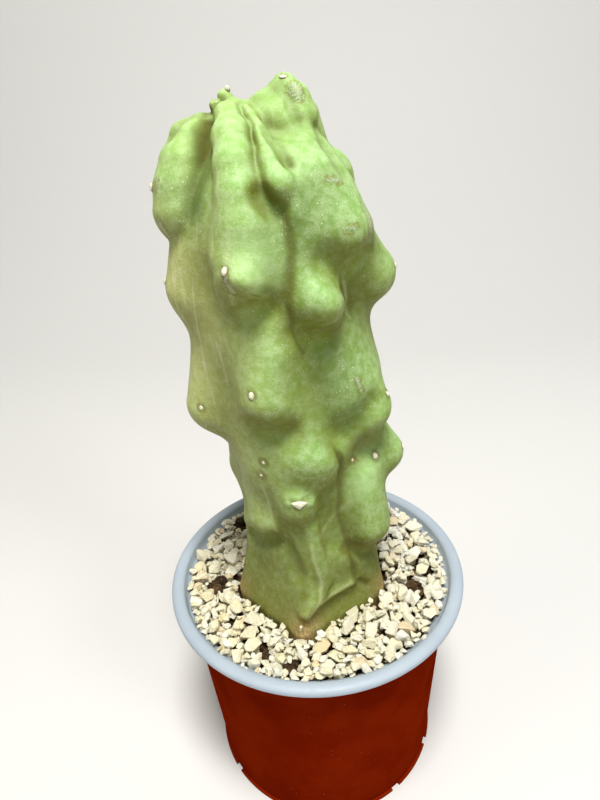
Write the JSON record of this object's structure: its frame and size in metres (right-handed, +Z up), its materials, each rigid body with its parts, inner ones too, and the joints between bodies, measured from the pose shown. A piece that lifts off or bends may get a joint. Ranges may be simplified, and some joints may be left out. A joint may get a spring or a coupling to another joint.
{
  "type": "potted totem pole cactus",
  "caption": "Totem pole cactus: a knobbly, spineless ribbed column with a folded crown, standing in a rolled-rim nursery pot under pale crushed stone.",
  "frame": {"origin": "centre of the pot's foot, on the surface it stands on", "axes": "+Z up the stem, -Y towards the side seen first, +X to the right of it"},
  "size_m": [0.1356, 0.1356, 0.3082],
  "materials": {
    "brick_plastic": "smooth, slightly glossy",
    "grey_plastic": "smooth satin",
    "mix": "loose bark and peat crumbs",
    "stone": "broken stone, dry and matt",
    "skin": "waxy skin with a thin bloom"
  },
  "bodies": {
    "root": {"pot_shell": "brick_plastic", "pot_liner": "grey_plastic", "potting_mix": "mix", "gravel_top": "stone", "cactus_stem": "skin"}
  },
  "joints": []
}
